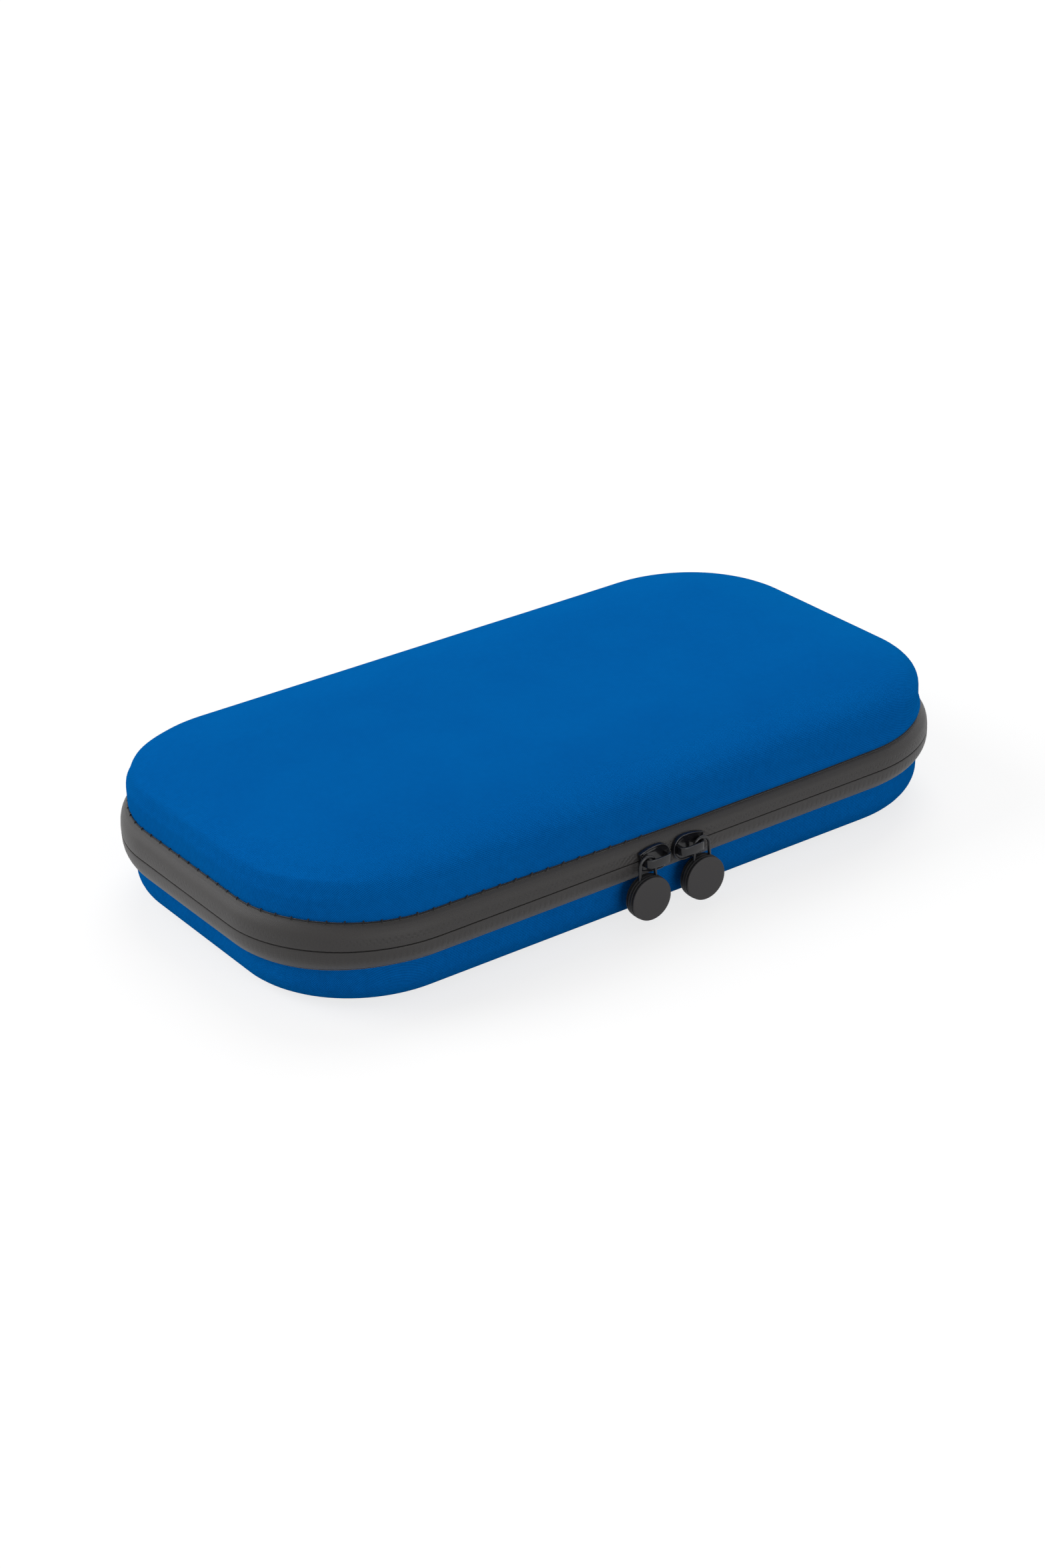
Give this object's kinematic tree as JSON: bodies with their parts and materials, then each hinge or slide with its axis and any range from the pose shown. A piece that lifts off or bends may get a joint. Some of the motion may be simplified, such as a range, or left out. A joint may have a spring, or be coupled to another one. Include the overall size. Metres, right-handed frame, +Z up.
{
  "type": "stethoscope hard case",
  "caption": "Rounded oblong hard case in blue cloth over moulded foam, with a dark zip band round its middle, a fabric hinge, and sliders with round pulls.",
  "frame": {"origin": "middle of the flat underside, on the surface that the case rests on", "axes": "+X along the long side, left to right seen from the zip pulls; the front with the pulls faces -Y; +Z up"},
  "size_m": [0.28, 0.1632, 0.054],
  "materials": {
    "lid_cloth": "fine blue woven polyester laminated on foam, slight sheen",
    "base_cloth": "fine blue woven polyester laminated on foam, slight sheen",
    "eva_foam": "moulded black foam, matt",
    "lining_cloth": "black brushed knit",
    "zip_tape": "dark grey coated zip tape, satin",
    "zip_coil": "black nylon coil",
    "binding_tape": "black ribbed binding tape",
    "thread": "black sewing thread",
    "webbing": "black nylon webbing",
    "hook_tape": "black hook tape",
    "loop_tape": "black loop tape",
    "net": "black knitted net",
    "elastic": "black woven elastic",
    "black_metal": "glossy black painted zinc",
    "pull_rubber": "dark grey soft rubber, matt"
  },
  "bodies": {
    "base": {"base_cover": "base_cloth", "base_shell": "eva_foam", "base_lining": "lining_cloth", "base_zip_tape": "zip_tape", "base_zip_coil": "zip_coil", "base_binding": "binding_tape", "base_seam_thread": "thread", "hinge_strip": "zip_tape", "strap_back": "webbing", "strap_front": "webbing", "strap_hook_patch": "hook_tape", "strap_loop_patch": "loop_tape"},
    "lid": {"lid_cover": "lid_cloth", "lid_shell": "eva_foam", "lid_lining": "lining_cloth", "lid_zip_tape": "zip_tape", "lid_zip_coil": "zip_coil", "lid_binding": "binding_tape", "lid_seam_thread": "thread", "net_pocket": "net", "pocket_hem": "elastic"},
    "left_slider": {"left_slider": "black_metal"},
    "left_pull": {"left_wire_loop": "black_metal", "left_disc_back": "pull_rubber", "left_disc_front": "pull_rubber"},
    "right_slider": {"right_slider": "black_metal"},
    "right_pull": {"right_wire_loop": "black_metal", "right_disc_back": "pull_rubber", "right_disc_front": "pull_rubber"}
  },
  "joints": [
    {"name": "lid_hinge", "type": "hinge", "parent": "base", "child": "lid", "pos_m": [0, 0.079, 0.024], "axis": [-1, 0, 0], "range_deg": [0, 165], "deforming": ["hinge_strip"]},
    {"name": "left_slider_slide", "type": "slide", "parent": "base", "child": "left_slider", "axis": [-1, 0, 0], "range_m": [0, 0.077]},
    {"name": "left_pull_swing", "type": "hinge", "parent": "left_slider", "child": "left_pull", "pos_m": [-0.01125, -0.0819, 0.02319], "axis": [0, 1, 0], "range_deg": [-8, 90]},
    {"name": "right_slider_slide", "type": "slide", "parent": "base", "child": "right_slider", "axis": [1, 0, 0], "range_m": [0, 0.077]},
    {"name": "right_pull_swing", "type": "hinge", "parent": "right_slider", "child": "right_pull", "pos_m": [0.01125, -0.0819, 0.02319], "axis": [0, -1, 0], "range_deg": [-8, 90]}
  ]
}
